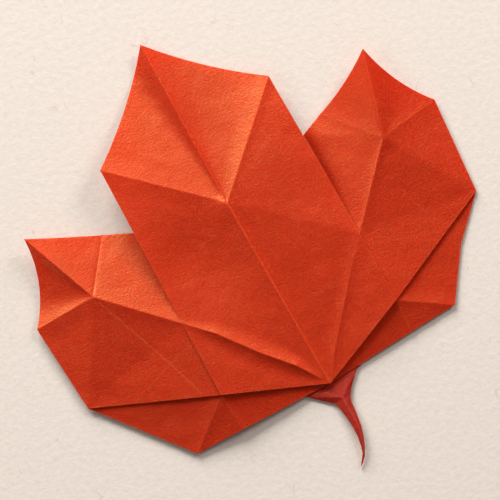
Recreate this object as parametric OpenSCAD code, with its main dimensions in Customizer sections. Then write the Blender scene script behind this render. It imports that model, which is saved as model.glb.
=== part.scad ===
// Maple leaf folded from one square of paper, lying face up.
// +Y runs along the leaf from the stem to the tip and +Z is up. The base point, where the
// folds of the blade gather above the stem, is where the crease points are measured from.
// Both halves are written as one and mirrored. The heights of a crease point are the mean of
// the two halves, and its lean is how much higher it stands on the left and lower on the right.

/* [Sheet] */
// Thickness of the pressed layers of paper
sheet_t = 0.4; // [0.3:0.05:0.5]
// How far each tier of the blade lies above the tier under it
tier_rise = 0.3; // [0.2:0.02:0.3]
// Straight pieces along each curved free edge
edge_steps = 8; // [4:1:12]

/* [Middle lobe] */
// From the base point to the tip of the leaf
tip_y = 96.9; // [92:0.5:102]
// Height of the tip above the table
tip_z = 1.6; // [0.4:0.2:2.4]
// How far the free edges at the tip bow in
tip_bow = 1.1; // [0:0.1:2]
// How far those edges sag between the tip and the shoulders
tip_sag = 1.7; // [0:0.1:2]
// From the base point to the hub where the creases of the middle lobe cross
hub_y = 52; // [48:0.5:56]
// Height of that hub above the table
hub_z = 4.3; // [3:0.1:5]
// From the base point to the shoulders of the middle lobe
shoulder_y = 74.4; // [70:0.5:78]
// Half the width of the middle lobe across its shoulders
shoulder_x = 24.1; // [21:0.5:27]
// Mean height of the shoulders
shoulder_z = 4.7; // [3:0.1:5.5]
// Lean of the shoulders
shoulder_lean = 1.3; // [0:0.1:1.6]
// How much wider the strip below the shoulders is on each side
strip_flare = 0.6; // [0:0.1:1]
// Where the pleat opens along a side edge of the strip, from the base point
pleat_y = 30.2; // [27:0.5:34]
// Mean height of the strip there
pleat_z = 4.4; // [3:0.1:5]
// Lean of the strip there
pleat_lean = 0.5; // [0:0.1:0.8]
// Mean height of the lowest corners of the strip
strip_foot_z = 2.8; // [1.6:0.1:3.4]
// Lean of those corners
strip_foot_lean = 0.4; // [0:0.1:0.8]

/* [Side lobes] */
// Half the distance between the upper tips
side_tip_x = 48.4; // [45:0.5:52]
// From the base point to the upper tips
side_tip_y = 68.8; // [66:0.5:72]
// Mean height of the upper tips
side_tip_z = 4.1; // [2:0.1:5]
// Lean of the upper tips
side_tip_lean = 0.4; // [0:0.1:0.8]
// Half the distance between the outer tips
outer_tip_x = 57.4; // [54:0.5:61]
// From the base point to the outer tips
outer_tip_y = 48.3; // [45:0.5:51]
// Height of the outer tips above the table
outer_tip_z = 0.8; // [0.4:0.2:2.4]
// Half the distance between the hubs of the side lobes
side_hub_x = 41.25; // [39:0.5:43]
// From the base point to those hubs
side_hub_y = 47.6; // [45:0.5:50]
// Mean height of those hubs
side_hub_z = 5; // [3.5:0.1:5.5]
// Lean of those hubs
side_hub_lean = 0.3; // [0:0.1:0.6]
// Half the distance between the lowest corners of the side lobes
corner_x = 55.6; // [53:0.5:58]
// From the base point to those corners
corner_y = 24.1; // [22:0.5:27]
// Height of those corners above the table
corner_z = 0.5; // [0.4:0.1:1.4]
// Half the distance between the feet of the creases on the upper edges
foot_x = 31.15; // [28:0.5:34]
// From the base point to those feet
foot_y = 60; // [58:0.5:62]
// Mean height of those feet
foot_z = 2.5; // [1.6:0.1:3]
// Lean of those feet, which stand higher on the right
foot_lean = -0.7; // [-0.9:0.1:0.9]
// From the base point to where the upper edges slip under the strip
slip_y = 57.3; // [55:0.1:57.6]
// Mean height of the upper edges there
slip_z = 2.2; // [1.4:0.1:2.6]
// Lean of the upper edges there
slip_lean = -0.7; // [-0.8:0.1:0.8]
// From the base point to where the upper edges meet under the strip
inner_y = 46.3; // [43:0.5:47.5]
// How far the free edges of the side lobes bow in
side_bow = 1.4; // [0:0.1:2.4]
// How far those edges sag between the tips
side_sag = 0.8; // [0:0.1:1.2]

/* [Lower lobes] */
// Half the distance between the lower tips
low_tip_x = 37.1; // [34:0.5:40]
// From the base point to the lower tips
low_tip_y = 1.4; // [0:0.2:3]
// Height of the lower tips above the table
low_tip_z = 0.3; // [0.2:0.1:1.2]
// Half the distance between the hubs of the lower lobes
low_hub_x = 24.85; // [22:0.5:28]
// How far the outer edges of the lower lobes bow in
low_bow = 0.6; // [0:0.1:1.2]
// How far up the back the lower lobes are tucked
tuck_y = 17; // [14:0.5:20]
// Half the width of the tucked part that lies flat on the table
rest_x = 14; // [11:0.5:17]
// From the base point to where it is widest
rest_y = 8; // [7.6:0.1:9]

/* [Stem] */
// From the base point down to the end of the stem
stem_reach = 22.3; // [18:0.5:28]
// Width of the stem where it leaves the blade
stem_w = 4.4; // [3:0.2:6]
// Width of the stem at its end
stem_end_w = 0.5; // [0.4:0.1:1]
// Height of the centre crease of the stem where it leaves the blade
stem_h = 2.2; // [1:0.2:3]
// How far the middle of the stem is arched off the table
stem_arch = 0.6; // [0:0.1:1.2]
// How far to the right the stem leaves the blade
stem_x = 0.9; // [0:0.1:2]
// How far the end of the stem swings to the left
stem_swing = 4.6; // [0:0.2:8]
// Half the width of the folds that gather into the stem
gather_x = 7.8; // [6:0.2:10]
// Length of the gathered folds
gather_l = 4.8; // [3:0.2:7]
// Pieces along the stem
stem_steps = 12; // [8:1:20]

/* [Hidden] */

paper = [0.80, 0.23, 0.13];
stem_paper = [0.70, 0.20, 0.18];

// The two halves, as the sign of their lean
RIGHT = -1;
LEFT = 1;

// The tiers of the blade, from the table up
low_tier = 0;
side_tier = low_tier + tier_rise;
top_tier = side_tier + tier_rise;
drop = [0, 0, tier_rise];

// The fold along the bottom of a side lobe runs straight from the base point to its corner
strip_x = shoulder_x + strip_flare;
low_hub_y = low_hub_x * corner_y / corner_x;

// Crease points on the axis, which both halves share
base_top = [0, 0, top_tier];
hub = [0, hub_y, hub_z];
tip = [0, tip_y, tip_z];
base_side = [0, 0, side_tier];
inner = [0, inner_y, top_tier + (hub_z - top_tier) * inner_y / hub_y] - drop;
base_low = [0, 0, low_tier];
tuck = [0, tuck_y, low_tier];

// Crease points of a half: those of the middle lobe and the strip
function shoulder(half) = [shoulder_x, shoulder_y, shoulder_z + half * shoulder_lean];
function pleat_end(half) = [strip_x, pleat_y, pleat_z + half * pleat_lean];
function strip_foot(half) = [low_hub_x, low_hub_y, strip_foot_z + half * strip_foot_lean];

// Those of a side lobe
function side_hub(half) = [side_hub_x, side_hub_y, side_hub_z + half * side_hub_lean];
function side_tip(half) = [side_tip_x, side_tip_y, side_tip_z + half * side_tip_lean];
function foot(half) = [foot_x, foot_y, foot_z + half * foot_lean];
function slip(half) = [strip_x, slip_y, slip_z + half * slip_lean];
outer_tip = [outer_tip_x, outer_tip_y, outer_tip_z];
corner = [corner_x, corner_y, corner_z];

// Those of a lower lobe
function low_hub(half) = strip_foot(half) - 2 * drop;
low_foot = [low_hub_x, low_tip_y * low_hub_x / low_tip_x, low_tip_z];
low_tip = [low_tip_x, low_tip_y, low_tip_z];
low_corner = corner - drop;
rest_corner = [rest_x, rest_y, low_tier];

// Points from a to b along a shallow arc that bows to the left of the way and sags in the middle
function bow(a, b, aside, sag = 0, steps = edge_steps) =
    let (way = b - a, side = [-way.y, way.x, 0] / norm([way.x, way.y]) * aside - [0, 0, sag])
    [for (i = [0 : steps]) let (s = i / steps) a + way * s + side * 4 * s * (1 - s)];

// Flat facets spread like a fan from a hub to the points of a rim, which runs anticlockwise
// seen from above
function fan(hub_point, rim) = [for (i = [1 : len(rim) - 1]) [hub_point, rim[i - 1], rim[i]]];

// Folded paper: facets that share creases, given their thickness straight up. An edge that no
// other facet shares gets a wall.
module sheet(facets) {
    n = 3 * len(facets);
    under = [for (f = facets) each f];
    over = [for (p = under) p + [0, 0, sheet_t]];
    edges = [for (i = [0 : 3 : n - 1], k = [0 : 2]) [i + k, i + (k + 1) % 3]];
    function is_free(e) =
        len([for (o = edges) if (under[o[0]] == under[e[1]] && under[o[1]] == under[e[0]]) o]) == 0;
    polyhedron(concat(under, over), concat(
        [for (i = [0 : 3 : n - 1]) [i, i + 1, i + 2]],
        [for (i = [n : 3 : 2 * n - 1]) [i, i + 2, i + 1]],
        [for (e = edges) if (is_free(e)) each [[e[0], e[0] + n, e[1] + n], [e[0], e[1] + n, e[1]]]]
    ));
}

// Middle lobe and strip, which lie on top
module top_tier_half(half) {
    sheet(concat(
        fan(hub, bow(shoulder(half), tip, tip_bow, tip_sag)),
        fan(hub, [base_top, pleat_end(half), shoulder(half)]),
        [[base_top, strip_foot(half), pleat_end(half)]]
    ));
}

// Side lobe, with the part of it that is tucked under the strip
module side_tier_half(half) {
    fold_root = pleat_end(half) - drop;
    side_foot = strip_foot(half) - drop;
    sheet(concat(
        fan(side_hub(half), concat(
            [fold_root, corner],
            bow(outer_tip, side_tip(half), side_bow, side_sag),
            bow(side_tip(half), foot(half), side_bow / 2),
            [slip(half), fold_root]
        )),
        fan(fold_root, [slip(half), inner, base_side, side_foot, corner])
    ));
}

// Lower lobe, which is tucked under the side lobe and rests on the table near the axis
module low_tier_half(half) {
    sheet(concat(
        fan(low_hub(half), concat(
            [tuck, rest_corner, base_low, low_foot],
            bow(low_tip, low_corner, low_bow, steps = 4),
            [tuck]
        )),
        [[rest_corner, tuck, base_low]]
    ));
}

module half_blade(half) {
    top_tier_half(half);
    side_tier_half(half);
    low_tier_half(half);
}

// Cross-section of the stem at share s of its length: a ridge with its centre crease on top
function stem_rib(s) =
    let (
        w = stem_w + (stem_end_w - stem_w) * pow(s, 0.7),
        x = stem_x - stem_swing * pow(s, 2.2),
        y = -gather_l - (stem_reach - gather_l) * s,
        base = 4 * stem_arch * s * (1 - s),
        side = base + sheet_t
    )
    [[x - w / 2, y, base], [x + w / 2, y, base], [x + w / 2, y, side],
     [x, y, side + stem_h * (1 - s)], [x - w / 2, y, side]];

module joined(points) {
    hull() polyhedron(points, [[for (i = [0 : len(points) - 1]) i]]);
}

// The folds that gather the foot of the blade, and the stem that runs on from them
module stem() {
    joined(concat(stem_rib(0), [
        for (side = [-1, 1], z = [0, sheet_t]) [side * gather_x, low_tip_y / 4, z],
        [0, gather_l / 2, side_tier],
        [0, gather_l / 2, side_tier + sheet_t]
    ]));
    for (i = [1 : stem_steps])
        joined(concat(stem_rib((i - 1) / stem_steps), stem_rib(i / stem_steps)));
}

module folded_leaf() {
    translate([0, -(tip_y - stem_reach) / 2, 0]) {
        color(paper) {
            half_blade(RIGHT);
            mirror([1, 0, 0]) half_blade(LEFT);
        }
        color(stem_paper) stem();
    }
}

folded_leaf();
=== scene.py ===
# Looks of a maple leaf folded from one square of red paper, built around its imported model.
import math

import bpy
import numpy as np
from mathutils import Matrix, Vector, geometry, noise


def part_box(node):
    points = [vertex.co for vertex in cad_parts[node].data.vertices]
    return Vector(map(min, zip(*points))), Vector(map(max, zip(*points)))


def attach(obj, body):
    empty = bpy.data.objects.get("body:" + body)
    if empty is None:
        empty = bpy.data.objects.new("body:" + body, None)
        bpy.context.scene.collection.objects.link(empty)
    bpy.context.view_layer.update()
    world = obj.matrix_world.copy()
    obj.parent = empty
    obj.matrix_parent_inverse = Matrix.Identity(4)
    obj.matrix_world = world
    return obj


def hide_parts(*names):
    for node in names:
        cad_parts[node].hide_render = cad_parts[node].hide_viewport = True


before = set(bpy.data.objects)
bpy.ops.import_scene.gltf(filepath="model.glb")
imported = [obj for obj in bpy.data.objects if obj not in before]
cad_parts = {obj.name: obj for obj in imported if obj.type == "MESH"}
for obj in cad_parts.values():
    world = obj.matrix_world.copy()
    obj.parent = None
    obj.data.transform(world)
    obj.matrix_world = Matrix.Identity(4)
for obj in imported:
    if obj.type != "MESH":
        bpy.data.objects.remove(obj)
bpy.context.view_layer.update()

# Real sizes are in millimetres from the base point, where the folds of the blade gather
# above the stem. X runs to the right, Y to the tip and Z up.
MM = 0.001
TIP_Y = 96.9
TOP_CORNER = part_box("folded_leaf")[1]
BASE = Vector((0.0, TOP_CORNER.y - TIP_Y * MM, 0.0))

PAPER = 0.22                 # thickness of the paper
STEM_PAPER = 0.3             # thickness of the paper gathered in the stem
UNDER_GAP = 0.02             # least height of the underside above the table
TIER = 0.4                   # height of one tier of paper above the next
CRUMPLE = 0.16               # height of the soft unevenness of a panel
LOW_CRUMPLE = 0.14           # the same in the lower lobes
WEAR_AND_HIGHLIGHT_REACH = 0.28            # how far the pale line of a crease reaches (rubbed paper with a painted highlight), and of a cut edge

# Points of the meshes. The steps are parts of the spacing.
SPACING = 0.85               # distance between points inside a panel
STEM_SPACING = 0.4
EDGE_STEP = 0.6              # along the outline
CREASE_STEP = 0.5            # along a crease and the row next to it
FAR_STEP = 0.6               # along the second row beside a crease
GRID_ROW = 0.866             # height of a row of even triangles
CREASE_ROWS = (0.14, 0.42)   # distances of the two rows beside a crease
ROW_CLEAR = 0.9              # part of its distance that a row keeps from the other lines
GRID_CLEAR = 0.35            # how far the even spread stays off the second row
ON_CREASE = 0.02             # points nearer than this lie on a crease
MERGE = 0.0001               # points nearer than this become one
INSIDE_ONLY = 1              # the triangles inside the outline are kept
FAR_AWAY = 1e9
TINY = 1e-9

# Crease points of the top tier: middle lobe and strip
TIP = (0.0, TIP_Y, 2.6)
SHOULDER_R = (24.08, 74.43, 3.5)
SHOULDER_L = (-24.03, 74.38, 6.05)
HUB = (-0.4, 52.0, 4.9)
BASE_TOP = (0.0, 0.0, 1.3)
PLEAT_R = (24.65, 29.15, 3.75)
PLEAT_L = (-24.9, 31.2, 5.25)
FOOT_R = (24.48, 10.13, 3.2)
FOOT_L = (-25.23, 10.9, 4.4)
LEFT_RIDGE = [PLEAT_L, (-18.82, 24.93), (-11.67, 15.46), (-5.31, 8.15), BASE_TOP]
RIGHT_RIDGE = [BASE_TOP, (4.6, 6.4), (8.6, 11.2), (12.87, 16.0), (18.3, 22.4), PLEAT_R]

# Crease points of the side lobes
HUB_R = (41.48, 47.23, 4.1)
HUB_L = (-41.08, 47.9, 5.1)
UPPER_R = (47.85, 68.83, 4.6)
UPPER_L = (-48.95, 68.78, 4.4)
OUTER_R = (57.35, 49.03, 0.85)
OUTER_L = (-57.35, 47.55, 1.3)
CORNER_R = (55.3, 24.05, 0.75)
CORNER_L = (-55.88, 24.13, 1.3)
STEP_R = (30.63, 59.83, 1.5)
STEP_L = (-31.68, 60.2, 1.65)
SLIP_R = (24.65, 57.4, 1.6)
SLIP_L = (-24.7, 56.9, 1.3)
INNER_Y = 46.3
INNER_DROP = 3.4        # how far the hidden inner corner lies below the strip
DIP_R = (24.65, 43.0)   # the dip of the right lobe under the strip runs through it
THIN_R = [(26.0, 25.2), (42.7, 19.6)]
THIN_L = [(-25.4, 25.65), (-32.45, 23.84), (-44.93, 19.82)]
CROSS_L = [(-40.4, 46.0), (-32.45, 23.84), (-29.31, 13.6)]

# Crease points of the lower lobes
LOW_R = (36.65, 1.85, 0.7)
LOW_L = (-37.58, 0.93, 0.85)
LOW_FOOT_R = (23.88, 1.3, 0.9)
LOW_FOOT_L = (-24.56, 0.66, 2.0)
KINK_R = (45.47, 14.3, 0.6)
LOW_BASE = (0.0, 0.0, 0.75)
LOW_TUCK = (0.0, 17.0, 0.5)
LOW_DROP = 1.0          # height of the strip's foot above the crease of the lower lobe

# Points of the stem: its two edges and the centre crease between them
STEM_LEFT = [(-7.22, 0.22, 0.6), (-4.04, -2.89, 0.5), (-1.53, -5.07, 0.6), (-1.1, -6.64, 0.8),
             (-0.71, -9.47, 1.05), (-0.52, -12.65, 1.3), (-0.66, -15.2, 1.35),
             (-1.11, -17.59, 1.25), (-1.7, -19.32, 1.05), (-2.8, -20.8, 0.8)]
STEM_END = (-3.8, -22.2, 0.5)
STEM_RIGHT = [(8.95, 0.3, 0.6), (7.26, -0.35, 0.6), (4.38, -3.12, 0.7), (2.74, -5.27, 0.85),
              (2.32, -6.58, 0.95), (2.01, -9.68, 1.15), (1.51, -12.92, 1.35),
              (0.6, -15.91, 1.35), (-0.31, -18.04, 1.25), (-1.4, -20.0, 1.05),
              (-2.6, -21.25, 0.8)]
STEM_CREASE = [(0.9, -4.72, 1.25), (0.89, -6.64, 1.4), (0.86, -9.03, 1.6), (0.83, -11.22, 1.8),
               (0.62, -13.57, 1.9), (0.12, -15.88, 1.9), (-0.66, -18.0, 1.7), (-1.52, -19.6, 1.4)]
STEM_ROOT = (0.0, 1.6, 0.34)
STEM_WING_R = (3.9, 1.2, 0.36)
STEM_WING_L = (-3.55, 1.2, 0.36)
STEM_PLEAT_R = (3.99, -0.5)
STEM_PLEAT_L = (-3.55, -0.1)


def below(point, drop=TIER):
    return (point[0], point[1], point[2] - drop)


def rim(a, b, bow, dips=(0.0,), count=20):
    """Points along a free edge that bows to the left of its way by bow at the middle.
    The dips are heights above the straight line at equal steps between the ends."""
    ax, ay, az = a
    bx, by, bz = b
    length = math.hypot(bx - ax, by - ay)
    side = (-(by - ay) / length, (bx - ax) / length)
    knots = np.linspace(0.0, 1.0, len(dips) + 2)
    heights = np.array([0.0, *dips, 0.0])
    out = []
    for i in range(count + 1):
        s = i / count
        sag = bow * 4.0 * s * (1.0 - s)
        rise = smooth_value(s, knots, heights)
        out.append((ax + (bx - ax) * s + side[0] * sag,
                    ay + (by - ay) * s + side[1] * sag,
                    az + (bz - az) * s + rise))
    return out


def smooth_value(s, knots, values):
    """Cubic curve through the values, with the slope of the neighbours at each knot."""
    i = int(min(max(np.searchsorted(knots, s) - 1, 0), len(knots) - 2))
    slopes = np.gradient(values, knots)
    h = knots[i + 1] - knots[i]
    t = (s - knots[i]) / h
    return float((2 * t**3 - 3 * t**2 + 1) * values[i] + (t**3 - 2 * t**2 + t) * h * slopes[i]
                 + (3 * t**2 - 2 * t**3) * values[i + 1] + (t**3 - t**2) * h * slopes[i + 1])


def fan(hub, points):
    return [(hub, points[i], points[i + 1]) for i in range(len(points) - 1)]


def base_height(xy, facets):
    """Height of the folded facets at each point, taken from the facet that holds it."""
    best = np.full(len(xy), -FAR_AWAY)
    height = np.zeros(len(xy))
    for a, b, c in facets:
        m = np.array([[b[0] - a[0], c[0] - a[0]], [b[1] - a[1], c[1] - a[1]]])
        inv = np.linalg.inv(m)
        st = (xy - np.array(a[:2])) @ inv.T
        inside = np.minimum(np.minimum(st[:, 0], st[:, 1]), 1.0 - st.sum(axis=1))
        pick = inside > best
        z = a[2] + st[:, 0] * (b[2] - a[2]) + st[:, 1] * (c[2] - a[2])
        height[pick] = z[pick]
        best[pick] = inside[pick]
    return height


def distance_to(xy, line):
    """Distance of each point from a line of straight pieces."""
    best = np.full(len(xy), FAR_AWAY)
    pts = np.array([p[:2] for p in line])
    for a, b in zip(pts[:-1], pts[1:]):
        way = b - a
        s = np.clip(((xy - a) @ way) / (way @ way), 0.0, 1.0)
        best = np.minimum(best, np.linalg.norm(xy - (a + s[:, None] * way), axis=1))
    return best


def sample(line, step):
    """Points along a line at about the given step, with every corner kept."""
    out = [np.array(line[0][:2])]
    for a, b in zip(line[:-1], line[1:]):
        a, b = np.array(a[:2]), np.array(b[:2])
        n = max(1, round(float(np.linalg.norm(b - a)) / step))
        out.extend(a + (b - a) * (i / n) for i in range(1, n + 1))
    return out


def inside_outline(xy, outline):
    """Whether each point lies inside a closed outline."""
    pts = np.array(outline)
    hit = np.zeros(len(xy), bool)
    for a, b in zip(pts, np.roll(pts, -1, axis=0)):
        crosses = (a[1] > xy[:, 1]) != (b[1] > xy[:, 1])
        rise = b[1] - a[1]
        if abs(rise) < TINY:
            continue
        x_at = a[0] + (xy[:, 1] - a[1]) * (b[0] - a[0]) / rise
        hit ^= crosses & (xy[:, 0] < x_at)
    return hit


def fold(line, wear_and_highlight=0.2, rise=0.0, left=4.0, right=4.0):
    """A crease. The paper beside it curves up to a rise at the crease itself, over the widths
    left and right of the way. Each of the three is one value or one for each point. The second
    argument makes the line along the crease paler: rubbed paper and a painted highlight."""
    def at_points(value):
        return list(value) if isinstance(value, (list, tuple)) else [value] * len(line)
    return {"line": line, "wear_and_highlight": wear_and_highlight, "rise": at_points(rise), "left": at_points(left),
            "right": at_points(right)}


def pinch(xy, crease):
    """How much a crease lifts each point, from the nearest place along it."""
    pts = np.array([p[:2] for p in crease["line"]])
    best = np.full(len(xy), FAR_AWAY)
    lift = np.zeros(len(xy))
    for i in range(len(pts) - 1):
        a, way = pts[i], pts[i + 1] - pts[i]
        s = np.clip(((xy - a) @ way) / (way @ way), 0.0, 1.0)
        off = xy - (a + s[:, None] * way)
        gap = np.linalg.norm(off, axis=1)
        on_left = way[0] * off[:, 1] - way[1] * off[:, 0] > 0
        rise, left, right = (crease[k][i] + (crease[k][i + 1] - crease[k][i]) * s
                             for k in ("rise", "left", "right"))
        width = np.where(on_left, left, right)
        nearer = gap < best
        value = rise * np.clip(1.0 - gap / width, 0.0, 1.0) ** 2
        best[nearer], lift[nearer] = gap[nearer], value[nearer]
    return lift


def row_beside(line, step, gap):
    """Points on both sides of a line, all at the same distance from it."""
    run = np.array(sample(line, step))
    way = np.gradient(run, axis=0)
    way /= np.maximum(np.linalg.norm(way, axis=1), TINY)[:, None]
    side = np.stack([-way[:, 1], way[:, 0]], axis=1)
    return np.concatenate([run + side * gap, run - side * gap])


def inner_points(outline, lines, spacing):
    """Rows of points beside every line and an even spread of points in the panels between."""
    near, far = CREASE_ROWS
    near_rows = np.concatenate([row_beside(line, spacing * CREASE_STEP, near) for line in lines])
    far_rows = np.concatenate([row_beside(line, spacing * FAR_STEP, far) for line in lines])
    low, high = np.min(outline, axis=0), np.max(outline, axis=0)
    grid = np.array([(x + (j % 2) * spacing / 2, y)
                     for j, y in enumerate(np.arange(low[1], high[1], spacing * GRID_ROW))
                     for x in np.arange(low[0], high[0], spacing)])
    kept = []
    for pts, clear in ((near_rows, near * ROW_CLEAR), (far_rows, far * ROW_CLEAR),
                       (grid, far + spacing * GRID_CLEAR)):
        pts = pts[inside_outline(pts, outline)]
        nearest = np.min([distance_to(pts, line) for line in lines], axis=0)
        kept.extend(tuple(p) for p in pts[nearest > clear])
    return kept


def panel_triangles(outline, folds, spacing):
    """Points and triangles of a panel. Triangles follow the outline and the folds."""
    closed = [*outline, outline[0]]
    edge_line = [tuple(p) for p in sample(closed, spacing * EDGE_STEP)[:-1]]
    points = list(edge_line)
    edges = [(i, (i + 1) % len(points)) for i in range(len(points))]
    for crease in folds:
        start = len(points)
        run = sample(crease["line"], spacing * CREASE_STEP)
        points.extend(tuple(p) for p in run)
        edges.extend((start + i, start + i + 1) for i in range(len(run) - 1))
    points.extend(inner_points(edge_line, [closed, *(c["line"] for c in folds)], spacing))
    flat, _, faces, _, _, _ = geometry.delaunay_2d_cdt([Vector(p) for p in points], edges, [],
                                                       INSIDE_ONLY, MERGE)
    return np.array([tuple(v) for v in flat]), faces


def swell(xy, centre, radii, turn, rise):
    """Height of one soft bulge, or hollow, of a panel."""
    c, s = math.cos(math.radians(turn)), math.sin(math.radians(turn))
    dx, dy = xy[:, 0] - centre[0], xy[:, 1] - centre[1]
    u, v = (dx * c + dy * s) / radii[0], (dy * c - dx * s) / radii[1]
    return rise * np.exp(-(u * u + v * v))


def unevenness(xy, crease_gap, seed):
    """Soft buckles of hand-folded paper, from -1 to 1 and weaker beside the creases."""
    wide, fine = 0.13, 0.38
    wave = np.array([noise.noise(Vector((x * wide, y * wide, seed))) * 0.7
                     + noise.noise(Vector((x * fine, y * fine, seed + 7.0))) * 0.3
                     for x, y in xy])
    at_crease, full_at = 0.3, 4.0
    return wave * np.clip(at_crease + crease_gap / full_at, 0.0, 1.0)


def panel_mesh(name, outline, facets, folds, swells=(), crumple=0.0, thickness=PAPER,
               spacing=SPACING, seed=0):
    """One tier of paper as a closed mesh. The heights come from the folded facets, with
    pinched ridges and slightly bent panels."""
    xy, faces = panel_triangles(outline, folds, spacing)
    z = base_height(xy, facets)
    lifts = np.array([pinch(xy, crease) for crease in folds])
    z += lifts.max(axis=0) + lifts.min(axis=0)
    for one in swells:
        z += swell(xy, *one)
    gaps = np.array([distance_to(xy, crease["line"]) for crease in folds])
    crease_gap = gaps.min(axis=0)
    if crumple:
        z += crumple * unevenness(xy, crease_gap, seed)
    z = round_folds(z, faces, crease_gap)
    z = np.maximum(z, thickness + UNDER_GAP)
    # Paler lines along the creases: rubbed paper, and also a painted highlight on each crease
    crease_wear_and_highlight = np.array([crease["wear_and_highlight"] for crease in folds])[:, None]
    worn_and_highlight = (crease_wear_and_highlight * np.clip(1.0 - gaps / WEAR_AND_HIGHLIGHT_REACH, 0.0, 1.0)).max(axis=0)
    rim_gap = distance_to(xy, [*outline, outline[0]])
    rim_worn = np.clip(1.0 - rim_gap / WEAR_AND_HIGHLIGHT_REACH, 0.0, 1.0)
    return closed_mesh(name, xy, z, faces, thickness, {"worn_and_highlight": worn_and_highlight, "rim": rim_worn})


def round_folds(z, faces, crease_gap):
    """A fold in paper has a small radius: each point on it moves toward its neighbours."""
    links = {}
    for f in faces:
        for a, b in zip(f, f[1:] + f[:1]):
            links.setdefault(a, set()).add(b)
            links.setdefault(b, set()).add(a)
    rounded = z.copy()
    for i in np.flatnonzero(crease_gap < ON_CREASE):
        rounded[i] = 0.5 * z[i] + 0.5 * float(np.mean([z[j] for j in links[i]]))
    return rounded


def closed_mesh(name, xy, z, faces, thickness, attributes):
    """Top and underside of a sheet of paper, joined by a wall along its outline."""
    n = len(xy)
    up = []
    for f in faces:
        a, b, c = (xy[i] for i in f)
        turn = (b[0] - a[0]) * (c[1] - a[1]) - (b[1] - a[1]) * (c[0] - a[0])
        up.append(list(f) if turn > 0 else list(reversed(f)))
    down = [[i + n for i in reversed(f)] for f in up]
    directed = {(f[k], f[(k + 1) % 3]) for f in up for k in range(3)}
    walls = sorted([a, a + n, b + n, b] for a, b in directed if (b, a) not in directed)
    top = [(x * MM, y * MM, h * MM) for (x, y), h in zip(xy, z)]
    under = [(x, y, h - thickness * MM) for x, y, h in top]
    mesh = bpy.data.meshes.new(name)
    mesh.from_pydata(top + under, [], up + down + walls)
    mesh.transform(Matrix.Translation(BASE))
    for key, values in attributes.items():
        layer = mesh.attributes.new(key, "FLOAT", "POINT")
        layer.data.foreach_set("value", np.concatenate([values, values]).astype(np.float32))
    mesh.shade_smooth()
    wall_edges = {tuple(sorted(key)) for polygon in mesh.polygons[len(up) + len(down):]
                  for key in polygon.edge_keys}
    sharp = mesh.attributes.new("sharp_edge", "BOOLEAN", "EDGE")
    sharp.data.foreach_set("value", [tuple(sorted(e.vertices)) in wall_edges for e in mesh.edges])
    return mesh


def piece(name, mesh, material):
    obj = bpy.data.objects.new(name, mesh)
    bpy.context.scene.collection.objects.link(obj)
    obj.data.materials.append(material)
    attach(obj, "root")
    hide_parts("folded_leaf")


# Materials

class Graph:
    """The nodes of one procedural material, worked out in the object's own space."""

    def __init__(self, name):
        self.material = bpy.data.materials.new(name)
        self.material.use_nodes = True
        self.tree = self.material.node_tree
        self.shader = self.tree.nodes["Principled BSDF"]
        self.space = self.tree.nodes.new("ShaderNodeTexCoord").outputs["Object"]

    def put(self, value, socket):
        """Links a node's output to the socket, or sets the socket to a plain value."""
        if isinstance(value, tuple):
            socket.default_value = (*value, 1.0)
        elif isinstance(value, (int, float)):
            socket.default_value = value
        else:
            self.tree.links.new(value, socket)

    def noise(self, scale, detail, stretch=(1, 1, 1), turn=0.0, rough=0.55, twist=0.0):
        mapping = self.tree.nodes.new("ShaderNodeMapping")
        mapping.inputs["Scale"].default_value = stretch
        mapping.inputs["Rotation"].default_value = (0.0, 0.0, math.radians(turn))
        self.put(self.space, mapping.inputs["Vector"])
        made = self.tree.nodes.new("ShaderNodeTexNoise")
        made.inputs["Scale"].default_value = scale
        made.inputs["Detail"].default_value = detail
        made.inputs["Roughness"].default_value = rough
        made.inputs["Distortion"].default_value = twist
        self.put(mapping.outputs["Vector"], made.inputs["Vector"])
        return made.outputs["Fac"]

    def remap(self, value, low, high, to_low=0.0, to_high=1.0):
        made = self.tree.nodes.new("ShaderNodeMapRange")
        for key, number in (("From Min", low), ("From Max", high), ("To Min", to_low),
                            ("To Max", to_high)):
            made.inputs[key].default_value = number
        self.put(value, made.inputs["Value"])
        return made.outputs["Result"]

    def maths(self, operation, a, b):
        made = self.tree.nodes.new("ShaderNodeMath")
        made.operation = operation
        self.put(a, made.inputs[0])
        self.put(b, made.inputs[1])
        return made.outputs[0]

    def total(self, *parts):
        """Sum of values, each with its own weight."""
        out = 0.0
        for value, weight in parts:
            out = self.maths("ADD", out, self.maths("MULTIPLY", value, weight))
        return out

    def mix(self, factor, a, b):
        made = self.tree.nodes.new("ShaderNodeMix")
        made.data_type = "RGBA"
        self.put(factor, made.inputs["Factor"])
        self.put(a, made.inputs[6])
        self.put(b, made.inputs[7])
        return made.outputs[2]

    def hairs(self, kinds, width):
        """Hair lines, where each kind lies mostly one way: narrow bands of a smooth noise.
        A kind has its scale, its turn and how far it is drawn out."""
        out = 0.0
        for scale, turn, drawn in kinds:
            field = self.noise(scale, 1.0, (1.0, drawn, 1.0), turn, rough=0.3)
            off = self.maths("ABSOLUTE", self.maths("SUBTRACT", field, 0.5), 0.0)
            out = self.maths("MAXIMUM", out, self.remap(off, 0.0, width, 1.0, 0.0))
        return out

    def bump(self, height, strength, distance):
        made = self.tree.nodes.new("ShaderNodeBump")
        made.inputs["Strength"].default_value = strength
        made.inputs["Distance"].default_value = distance
        self.put(height, made.inputs["Height"])
        self.put(made.outputs["Normal"], self.shader.inputs["Normal"])

    def attribute(self, name):
        made = self.tree.nodes.new("ShaderNodeAttribute")
        made.attribute_name = name
        return made.outputs["Fac"]


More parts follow.
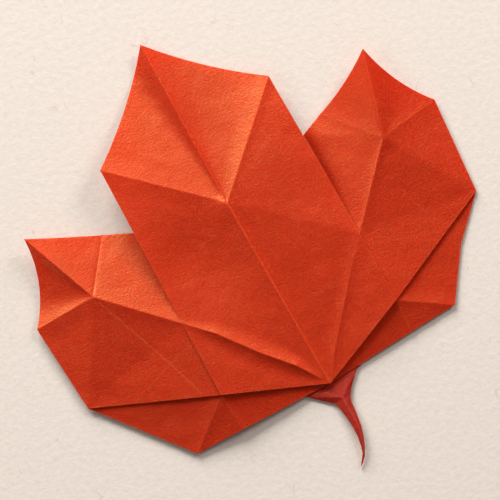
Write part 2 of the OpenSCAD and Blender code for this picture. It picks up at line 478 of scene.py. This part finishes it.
# Linear colours and strengths of the materials. Scales of noise are per metre.
RED = (0.635, 0.004, 0.001)
RED_DARK = (0.60, 0.005, 0.001)
# Pale red of grain, fibres and rubbed creases and cut edges; along the creases it also paints a
# highlight line
RED_WORN_AND_HIGHLIGHT = (0.85, 0.11, 0.025)
GLOSS = (1.0, 0.96, 0.33)
# The stem is the same red paper; its darker colours and weaker gloss are painted shade
STEM_SHADED_RED = (0.40, 0.011, 0.007)
STEM_SHADED_DARK = (0.33, 0.008, 0.005)
STEM_SHADED_WORN_AND_HIGHLIGHT = (0.60, 0.08, 0.05)
STEM_SHADED_GLOSS = (0.55, 0.36, 0.22)
PAPER_IOR = 2.1
GLOW = 0.8                          # share of the light that spreads inside the paper
GLOW_RADIUS = (1.0, 0.1, 0.04)      # red light spreads furthest
GLOW_DEPTH = 0.0006
FIBRES = [(760.0, 25.0, 0.16), (680.0, -40.0, 0.18), (820.0, 80.0, 0.16)]
FIBRE_WIDTH = 0.03
GRAIN_TINT = 0.26                   # how far grain, fibres and rubbed creases and edges turn the colour paler; on the creases the paler colour is also a painted highlight
FIBRE_TINT = 0.16
WEAR_AND_HIGHLIGHT_TINT = 0.75
CUT_EDGE_WEAR = 0.35
ROUGHNESS = (0.44, 0.56)
RELIEF = {"grain": 0.9, "tooth": 0.7, "fibres": 0.25, "wrinkles": 0.62}
RELIEF_STRENGTH = 0.48
RELIEF_DEPTH = 0.00016

FLOOR_LIGHT = (0.815, 0.72, 0.64)
FLOOR_DARK = (0.735, 0.65, 0.575)
FLOOR_HAIR = (0.5, 0.36, 0.25)
FLOOR_HAIRS = [(150.0, 30.0, 0.5), (190.0, -50.0, 0.45)]
FLOOR_HAIR_WIDTH = 0.006
FLOOR_HAIR_TINT = 0.4


def paper_material(name, colour, worn_and_highlight, dark, gloss):
    """Handmade paper dyed through: clouded colour, long fibres, grain and soft wrinkles, paler
    where a crease or a cut edge is rubbed, and along the creases a painted highlight. Some red
    light passes through the thin sheet."""
    g = Graph(name)
    g.put(PAPER_IOR, g.shader.inputs["IOR"])
    g.put(gloss, g.shader.inputs["Specular Tint"])
    g.put(GLOW, g.shader.inputs["Subsurface Weight"])
    g.shader.inputs["Subsurface Radius"].default_value = GLOW_RADIUS
    g.put(GLOW_DEPTH, g.shader.inputs["Subsurface Scale"])

    clouds = g.noise(scale=110.0, detail=3.0)
    grain = g.noise(scale=3200.0, detail=2.0, rough=0.6)
    tooth = g.noise(scale=1900.0, detail=1.0, stretch=(0.7, 1.2, 1.0), turn=15.0)
    fibres = g.maths("MULTIPLY", g.hairs(FIBRES, FIBRE_WIDTH),
                     g.remap(g.noise(scale=420.0, detail=2.0), 0.46, 0.66))
    wrinkles = g.noise(scale=760.0, detail=2.0, stretch=(0.75, 1.25, 1.0), turn=20.0, twist=0.6)
    wrinkles = g.maths("MULTIPLY", wrinkles,
                       g.remap(g.noise(scale=60.0, detail=1.0), 0.4, 0.62, 0.45, 1.0))

    # Paler along creases and cut edges: rubbed paper, and on the creases also a painted highlight
    wear_and_highlight = g.maths("MAXIMUM", g.attribute("worn_and_highlight"),
                   g.maths("MULTIPLY", g.attribute("rim"), CUT_EDGE_WEAR))
    wear_and_highlight = g.maths("MULTIPLY", wear_and_highlight,
                   g.remap(g.noise(scale=900.0, detail=2.0), 0.3, 0.7, 0.6, 1.0))

    base = g.mix(g.remap(clouds, 0.32, 0.68), dark, colour)
    base = g.mix(g.remap(grain, 0.35, 0.75, 0.0, GRAIN_TINT), base, worn_and_highlight)
    base = g.mix(g.maths("MULTIPLY", fibres, FIBRE_TINT), base, worn_and_highlight)
    base = g.mix(g.maths("MULTIPLY", wear_and_highlight, WEAR_AND_HIGHLIGHT_TINT), base, worn_and_highlight)
    g.put(base, g.shader.inputs["Base Color"])
    g.put(g.remap(grain, 0.3, 0.7, *ROUGHNESS), g.shader.inputs["Roughness"])
    relief = g.total((grain, RELIEF["grain"]), (tooth, RELIEF["tooth"]),
                     (fibres, RELIEF["fibres"]), (wrinkles, RELIEF["wrinkles"]))
    g.bump(relief, RELIEF_STRENGTH, RELIEF_DEPTH)
    return g.material


def floor_material():
    """Pale, slightly fibrous card under the leaf, with a few tan hairs in it."""
    g = Graph("pale_floor")
    g.put(0.9, g.shader.inputs["Roughness"])
    g.put(0.1, g.shader.inputs["Specular IOR Level"])
    pulp = g.noise(scale=700.0, detail=6.0, rough=0.7)
    hairs = g.maths("MULTIPLY", g.hairs(FLOOR_HAIRS, FLOOR_HAIR_WIDTH),
                    g.remap(g.noise(scale=260.0, detail=1.0), 0.6, 0.7))
    base = g.mix(g.remap(pulp, 0.3, 0.7), FLOOR_DARK, FLOOR_LIGHT)
    base = g.mix(g.maths("MULTIPLY", hairs, FLOOR_HAIR_TINT), base, FLOOR_HAIR)
    g.put(base, g.shader.inputs["Base Color"])
    g.bump(pulp, strength=0.3, distance=0.0003)
    return g.material


paper = paper_material("red_paper", RED, RED_WORN_AND_HIGHLIGHT, RED_DARK, GLOSS)
# Painted shade: the stem gets a darker copy of the red paper
stem_paper = paper_material("stem_paper", STEM_SHADED_RED, STEM_SHADED_WORN_AND_HIGHLIGHT, STEM_SHADED_DARK, STEM_SHADED_GLOSS)

# Middle lobe and strip. A fold below has its line, how pale its line is (rubbed paper and a
# painted highlight), its rise and how wide the paper curves to the left and right of it. A rim
# has its ends, its bow and its dips.

tip_right = rim(SHOULDER_R, TIP, 1.0, (-1.65, -2.15, -1.8))
tip_left = rim(TIP, SHOULDER_L, 1.1, (-2.6, -1.85, -0.77))
strip_right = rim(PLEAT_R, SHOULDER_R, 0.0, (0.0, 0.4, 0.5), 8)
strip_left = rim(SHOULDER_L, PLEAT_L, 0.0, (0.1, 0.2, 0.1), 8)
top = panel_mesh(
    "middle_lobe",
    [BASE_TOP, FOOT_R, *strip_right, *tip_right[1:], *tip_left[1:], *strip_left[1:], FOOT_L],
    (fan(HUB, [*tip_right, *tip_left[1:]])
     + fan(HUB, [*strip_left, BASE_TOP, *strip_right])
     + [(BASE_TOP, FOOT_R, PLEAT_R), (BASE_TOP, PLEAT_L, FOOT_L)]),
    [fold([HUB, TIP], 0.15, (0.4, 0.1), 3.5, 0.4),
     fold([HUB, SHOULDER_R], 0.5, (0.25, 0.22), 4.0, 3.0),
     fold([HUB, SHOULDER_L], 0.3, (0.3, 0.25), 6.0, 5.0),
     fold([HUB, BASE_TOP], 0.75, (0.8, 0.5), 0.9, (9.0, 7.0)),
     fold(LEFT_RIDGE, 0.25, (0.15, 0.75, 0.9, 0.95, 0.2), (1.5, 3.6, 4.6, 3.8, 1.8),
          (1.5, 3.2, 3.8, 3.4, 1.5)),
     fold(RIGHT_RIDGE, 0.35, (0.1, 0.35, 0.22, 0.36, 0.22, 0.1), 3.0, 3.4)],
    swells=[((-1.5, 54.6), (0.5, 1.9), 14.0, -0.3), ((-14.0, 42.0), (9.5, 12.0), 0.0, -1.3)],
    crumple=CRUMPLE, seed=3)
piece("middle_lobe", top, paper)


def side_lobe(name, hub, upper, outer, corner, step, slip, pleat, foot, folds, bows, dips, seed):
    """A side lobe, with the part that is tucked under the strip. The edges bow in, which is to
    the left of the way on the right lobe and to the right of it on the left lobe."""
    strip_height = BASE_TOP[2] + (HUB[2] - BASE_TOP[2]) * INNER_Y / HUB[1]
    inner = (0.0, INNER_Y, strip_height - INNER_DROP)
    root = below(pleat)
    base = below(BASE_TOP)
    outer_edge = rim(outer, upper, bows[0], dips)
    upper_edge = rim(upper, step, bows[1])
    mesh = panel_mesh(
        name,
        [base, below(foot), corner, *outer_edge, *upper_edge[1:], slip, inner],
        (fan(hub, [root, corner, *outer_edge, *upper_edge[1:], slip, root])
         + fan(root, [slip, inner, base, below(foot), corner])),
        [*folds, fold([root, below(foot)], 0.1)], crumple=CRUMPLE, seed=seed)
    piece(name, mesh, paper)


side_lobe("side_lobe_right", HUB_R, UPPER_R, OUTER_R, CORNER_R, STEP_R, SLIP_R, PLEAT_R, FOOT_R,
          [fold([HUB_R, UPPER_R], 0.15, (0.5, 0.4), 1.2, 5.0),
           fold([HUB_R, OUTER_R], 0.3, (0.28, 0.2), 5.0, 5.0),
           fold([HUB_R, STEP_R], 0.25, (0.28, 0.25), 3.0, 5.0),
           fold([HUB_R, below(PLEAT_R)], 0.5, (0.25, 0.1), 3.0, 1.5),
           fold([SLIP_R, DIP_R, below(PLEAT_R)], 0.0, (-1.5, -1.2, 0.0), 4.5, 10.0),
           fold(THIN_R, 0.3)],
          (1.4, 0.75), (0.0, 0.15, 0.25), 11)
side_lobe("side_lobe_left", HUB_L, UPPER_L, OUTER_L, CORNER_L, STEP_L, SLIP_L, PLEAT_L, FOOT_L,
          [fold([HUB_L, UPPER_L], 0.15, (0.25, 0.1), 3.0, 3.0),
           fold([HUB_L, OUTER_L], 0.25, (0.28, 0.2), 5.0, 5.0),
           fold([HUB_L, STEP_L], 0.2, (-0.11, -0.08), 0.6, 0.6),
           fold([HUB_L, below(PLEAT_L)], 0.25, (0.28, 0.2), 5.0, 5.0),
           fold(CROSS_L, 0.8),
           fold(THIN_L, 0.35)],
          (-2.0, -0.1), (-1.03, -0.96, -0.8), 17)


def lower_lobe(name, foot, low_foot, low, corner, kink, seed):
    """A lower lobe, tucked under the side lobe as far as the centre crease."""
    hub = below(foot, LOW_DROP)
    outline = [LOW_BASE, low_foot, low, *kink, below(corner), LOW_TUCK]
    mesh = panel_mesh(name, outline, fan(hub, [*outline, LOW_BASE]),
                      [fold([hub, low], 0.35, 0.2), fold([hub, low_foot], 0.4, 0.08, 2.0, 2.0)],
                      crumple=LOW_CRUMPLE, seed=seed)
    piece(name, mesh, paper)


lower_lobe("lower_lobe_right", FOOT_R, LOW_FOOT_R, LOW_R, CORNER_R, [KINK_R], 23)
lower_lobe("lower_lobe_left", FOOT_L, LOW_FOOT_L, LOW_L, CORNER_L, [], 29)


# Stem

def beside_crease(edge):
    """Facets between one edge of the stem and its centre crease."""
    return [*zip(edge, STEM_CREASE[1:], STEM_CREASE[:-1]), *zip(edge, edge[1:], STEM_CREASE[1:])]


stem_hub = STEM_CREASE[0]
stem_mesh = panel_mesh(
    "stem",
    [*STEM_LEFT, STEM_END, *reversed(STEM_RIGHT), STEM_ROOT],
    (fan(stem_hub, [*reversed(STEM_RIGHT[:4]), STEM_WING_R, STEM_ROOT, STEM_WING_L,
                    *STEM_LEFT[:3]])
     + beside_crease(STEM_LEFT[2:])
     + beside_crease(STEM_RIGHT[3:])
     + [(STEM_LEFT[-1], STEM_END, STEM_CREASE[-1]), (STEM_END, STEM_RIGHT[-1], STEM_CREASE[-1])]),
    [fold(STEM_CREASE, 0.5), fold([stem_hub, STEM_ROOT], 0.1),
     fold([stem_hub, STEM_PLEAT_R], 0.1), fold([stem_hub, STEM_PLEAT_L], 0.1)],
    spacing=STEM_SPACING, thickness=STEM_PAPER)
piece("stem", stem_mesh, stem_paper)

# Floor, light and camera

FLOOR_HALF = 1.5
floor_corners = [(-FLOOR_HALF, -FLOOR_HALF, 0.0), (FLOOR_HALF, -FLOOR_HALF, 0.0),
                 (FLOOR_HALF, FLOOR_HALF, 0.0), (-FLOOR_HALF, FLOOR_HALF, 0.0)]
floor_mesh = bpy.data.meshes.new("floor")
floor_mesh.from_pydata(floor_corners, [], [(0, 1, 2, 3)])
floor = bpy.data.objects.new("floor", floor_mesh)
bpy.context.scene.collection.objects.link(floor)
floor.data.materials.append(floor_material())


def area_light(name, azimuth, elevation, distance, width, height, power):
    """A soft lamp that faces the leaf. Azimuth 0 is the leaf's tip end, 90 its right."""
    a, e = math.radians(azimuth), math.radians(elevation)
    data = bpy.data.lights.new(name, "AREA")
    data.shape = "RECTANGLE"
    data.size = width
    data.size_y = height
    data.energy = power
    lamp = bpy.data.objects.new(name, data)
    way = Vector((math.sin(a) * math.cos(e), math.cos(a) * math.cos(e), math.sin(e)))
    lamp.location = way * distance
    lamp.rotation_euler = way.to_track_quat("Z", "Y").to_euler()
    bpy.context.scene.collection.objects.link(lamp)
    return lamp


area_light("key", azimuth=4.0, elevation=22.0, distance=1.5, width=1.25, height=0.7, power=46.3)
FILL_DISTANCE = 1.2
FILL_SIZE = 0.4
for side_name, azimuth, elevation, power in (("right", 70.0, 30.0, 6.0),
                                             ("left", -70.0, 40.0, 1.4)):
    side_light = area_light("fill_" + side_name, azimuth, elevation, FILL_DISTANCE,
                            FILL_SIZE, FILL_SIZE, power)
    side_light.visible_glossy = False

ROOM_COLOUR = (1.0, 0.9, 0.86, 1.0)
ROOM_STRENGTH = 0.17
world = bpy.data.worlds.new("studio")
bpy.context.scene.world = world
world.use_nodes = True
world.node_tree.nodes["Background"].inputs["Color"].default_value = ROOM_COLOUR
world.node_tree.nodes["Background"].inputs["Strength"].default_value = ROOM_STRENGTH
world.cycles_visibility.glossy = False

# The camera looks straight down, with the leaf's axis leaning to the left of image up
FRAME_WIDTH = 125.0       # width of the view at the table
VIEW_CENTRE = (-1.24, 38.85)
AXIS_LEAN = 29.35
CAMERA_HEIGHT = 1.2
SENSOR = 36.0
CAMERA_REACH = 20.0
camera_data = bpy.data.cameras.new("camera")
camera_data.sensor_width = SENSOR
camera_data.lens = SENSOR * CAMERA_HEIGHT / (FRAME_WIDTH * MM)
camera_data.clip_end = CAMERA_REACH
camera = bpy.data.objects.new("camera", camera_data)
camera.location = (BASE.x + VIEW_CENTRE[0] * MM, BASE.y + VIEW_CENTRE[1] * MM, CAMERA_HEIGHT)
camera.rotation_euler = (0.0, 0.0, -math.radians(AXIS_LEAN))
bpy.context.scene.collection.objects.link(camera)
bpy.context.scene.camera = camera

bpy.context.scene.view_settings.view_transform = "Standard"
